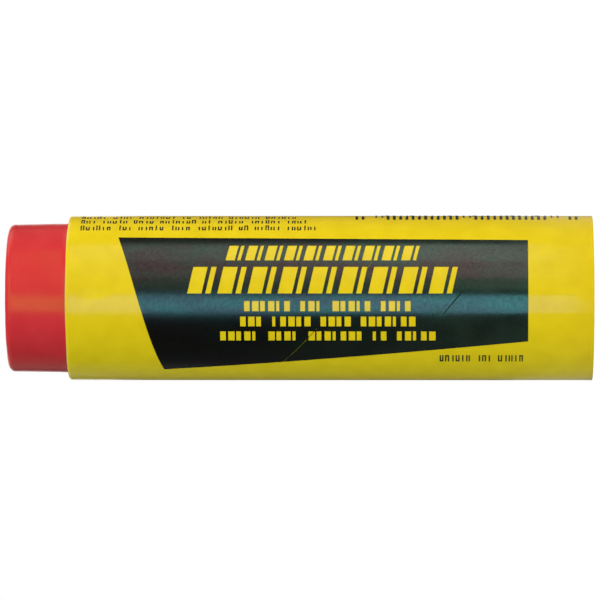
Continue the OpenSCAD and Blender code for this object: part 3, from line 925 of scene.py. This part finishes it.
shaped = add(panel_tree, "GeometryNodeSetPosition", {"Geometry": plate, "Position": flat})
print("panel is", round(PANEL_TOP - PANEL_TAIL, 1), "mm long on its upper side")

# %% [markdown]
# The cutters reach past both faces of the plate, so that no thin skin of ink is left.

# %% Panel's openings, and the panel as a piece
OVERCUT = 0.1

cutters = add(panel_tree, "GeometryNodeGroup", {"Geometry": given}, node_tree=blocks)
cut = add(panel_tree, "GeometryNodeMeshBoolean", {"Mesh 1": shaped, "Mesh 2": cutters},
          operation="DIFFERENCE", solver="MANIFOLD")
bend_and_coat(panel_tree, cut, ink, flip=True)

openings = points_of("openings", opened + scratches, -OVERCUT, INK + OVERCUT)
panel_mesh = run_tree("panel_ink", panel_tree, openings)
piece("panel_ink", panel_mesh, "panel_print")

# %% [markdown]
# ## Paint stick and tube
#
# Both are turned from a profile, the line of half their section, as on a lathe. Spin or a Screw modifier
# would turn it too, but here each point is also moved by a function of its place, which takes away the
# perfect roundness. The points of a closed profile join up at the end, as a tube's do, and an open one
# starts and ends on the axis.

# %% Turn a profile
def turned_mesh(name, profile, around, closed, shape):
    """Turns a profile of radius and height in millimetres about Z, each point moved by a function."""
    rings, verts, faces = [], [], []
    for radius, tall in profile:
        ring = []
        for j in range(1 if radius == 0 else around):
            angle = 2 * math.pi * j / around
            r, z = shape(radius, tall, angle)
            ring.append(len(verts))
            verts.append((r * math.sin(angle) * MM, -r * math.cos(angle) * MM, z * MM))
        rings.append(ring * (around // len(ring)))
    for i in range(len(rings) if closed else len(rings) - 1):
        low, high = rings[i], rings[(i + 1) % len(rings)]
        for j in range(around):
            k = (j + 1) % around
            corners = list(dict.fromkeys((low[j], low[k], high[k], high[j])))
            faces.append(corners)
    mesh = bpy.data.meshes.new(name)
    mesh.from_pydata(verts, [], faces)
    mesh.shade_smooth()
    mesh.set_sharp_from_angle(angle=SHARP_ANGLE)
    print(f"{name}: {len(profile)} points turned in {around} steps")
    return mesh


# %% [markdown]
# The stick was cast in its sleeve. Its nose narrows a little, has a soft edge and a shallow crown, and
# its tail sank to a dish as the paint set. The crown and the dish are parts of large balls, and the edge
# is an arc that meets the crown without a corner, so a few sums give all their points.

# %% Arcs of the paint stick
NOSE_DRAFT = 0.13
NOSE_EDGE = 1.2
NOSE_CROWN = 0.3
TAIL_DISH = 0.9
TAIL_RIM = 0.8

nose_r = STICK_R - NOSE_DRAFT
crown_r = (nose_r ** 2 + NOSE_CROWN ** 2) / (2 * NOSE_CROWN)
crown_z = NOSE_TOP - crown_r
edge_r = nose_r - NOSE_EDGE
edge_z = crown_z + math.sqrt((crown_r - NOSE_EDGE) ** 2 - edge_r ** 2)
join_r = edge_r * crown_r / (crown_r - NOSE_EDGE)
join_angle = math.acos((join_r - edge_r) / NOSE_EDGE)
dish_r = STICK_R - TAIL_RIM
dish_ball = (dish_r ** 2 + TAIL_DISH ** 2) / (2 * TAIL_DISH)
dish_z = TAIL_RECESS + TAIL_DISH - dish_ball
print(f"the crown is part of a ball of radius {crown_r:.0f}, the dish of one of {dish_ball:.0f} mm")

# %% Profile of the paint stick
TAIL_BEVEL = 0.15
UNDER_MOUTH = 1.5

side_long = SLEEVE_LEN - UNDER_MOUTH - TAIL_RECESS
dish = [(dish_r * i / 30, dish_z + math.sqrt(dish_ball ** 2 - (dish_r * i / 30) ** 2)) for i in range(31)]
rim = [(STICK_R - TAIL_BEVEL, TAIL_RECESS), (STICK_R, TAIL_RECESS + TAIL_BEVEL)]
side = [(STICK_R, TAIL_RECESS + TAIL_BEVEL + side_long * i / 12) for i in range(1, 13)]
nose = [(STICK_R - NOSE_DRAFT * i / 24, SLEEVE_LEN + (edge_z - SLEEVE_LEN) * i / 24) for i in range(25)]
edge = [(edge_r + NOSE_EDGE * math.cos(join_angle * i / 12),
         edge_z + NOSE_EDGE * math.sin(join_angle * i / 12)) for i in range(1, 13)]
crown = [(join_r * (1 - i / 30), crown_z + math.sqrt(crown_r ** 2 - (join_r * (1 - i / 30)) ** 2))
         for i in range(1, 31)]
stick_profile = dish + rim + side + nose + edge + crown
print("profile of the stick:", len(stick_profile), "points")

# %% [markdown]
# Nothing about a casting is quite smooth. Two noises, a slow and a fine one, sink the nose along its own
# normal, inward on its side and down on its crown. The dish has faint ripples round its middle. The part
# inside the tube keeps a hair's breadth from the board, so that the two surfaces don't flicker.

# %% Paint stick
AROUND = 180
SLOW_WIDE, SLOW_DEEP = 5.0, 0.04
FINE_WIDE, FINE_DEEP = 1.3, 0.02
RIPPLE_DEEP, RIPPLES = 0.03, 4
HAIR = 0.01


def cast(radius, tall, angle):
    """Moves a point of the stick inward, by the slow unevenness of a casting and the ripples in its dish."""
    spot = Vector((radius * math.sin(angle), -radius * math.cos(angle), tall))
    sink = SLOW_DEEP * (1 + noise.noise(spot / SLOW_WIDE)) + FINE_DEEP * (1 + noise.noise(spot / FINE_WIDE))
    if tall > SLEEVE_LEN:
        flatness = min(1.0, max(0.0, (tall - edge_z) / NOSE_EDGE))
        return radius - sink * (1 - flatness) * min(1.0, radius), tall - sink * flatness
    if radius < dish_r:
        ripple = RIPPLE_DEEP * math.sin(radius * RIPPLES) * (1 - radius / dish_r)
        return radius, tall + ripple + sink * 0.5
    return radius - HAIR, tall


stick_mesh = turned_mesh("paint_stick_cast", stick_profile, AROUND, False, cast)
piece("paint_stick_cast", stick_mesh, "paint_stick", paint)

# %% [markdown]
# The tube is wound from plies of board, which run outward as they go round. At its cut ends the glue
# lines between them show as fine rings, so the ends have many rings of points and sink between the plies.
# The rounded mouth follows the wander of the label that covers it.

# %% Wound tube
PLIES = 4
PLY_DEEP = 0.06
RING_STEPS = 24

wall = TUBE_R - STICK_R
across = [TUBE_R - wall * i / RING_STEPS for i in range(RING_STEPS + 1)]
outside = [(TUBE_R, SLEEVE_LEN * i / 12 * (1 - MOUTH_ROUND / SLEEVE_LEN)) for i in range(13)]
rounding = [(TUBE_R - MOUTH_ROUND + MOUTH_ROUND * math.cos(math.pi / 2 * i / 8),
             SLEEVE_LEN - MOUTH_ROUND + MOUTH_ROUND * math.sin(math.pi / 2 * i / 8)) for i in range(1, 9)]
mouth_end = [(r, SLEEVE_LEN) for r in across if r < TUBE_R - MOUTH_ROUND - HAIR]
bore = [(STICK_R, SLEEVE_LEN * (1 - i / 12)) for i in range(1, 13)]
tail_end = [(r, 0.0) for r in reversed(across) if STICK_R < r < TUBE_R]


def wound(radius, tall, angle):
    """Sinks the cut ends of the tube a little between its plies, which wind outward as they go round."""
    depth = 0.0
    if STICK_R + HAIR < radius < TUBE_R - HAIR or tall > SLEEVE_LEN - HAIR:
        ply = (radius - STICK_R) / wall * PLIES - angle / (2 * math.pi)
        depth = PLY_DEEP * (0.5 + 0.5 * math.cos(2 * math.pi * ply)) ** 3
    if tall > SLEEVE_LEN - MOUTH_ROUND - HAIR:
        waves = math.sin(SLOW_TURNS * angle + SLOW_START) + math.sin(FAST_TURNS * angle + FAST_START)
        return radius, tall - depth + MOUTH_WAVE * WANDER_SHARE * (waves - 2)
    return (radius, tall + depth) if tall < HAIR else (radius, tall)


tube_profile = outside + rounding + mouth_end + bore + tail_end
tube_mesh = turned_mesh("wound_tube_board", tube_profile, AROUND, True, wound)
piece("wound_tube_board", tube_mesh, "wound_tube", board)

# %% [markdown]
# ## Colour and hand-over
#
# The picture is shown as it was computed, without a film look. Then the frame takes over.

# %% Finish
bpy.context.scene.view_settings.view_transform = "Standard"
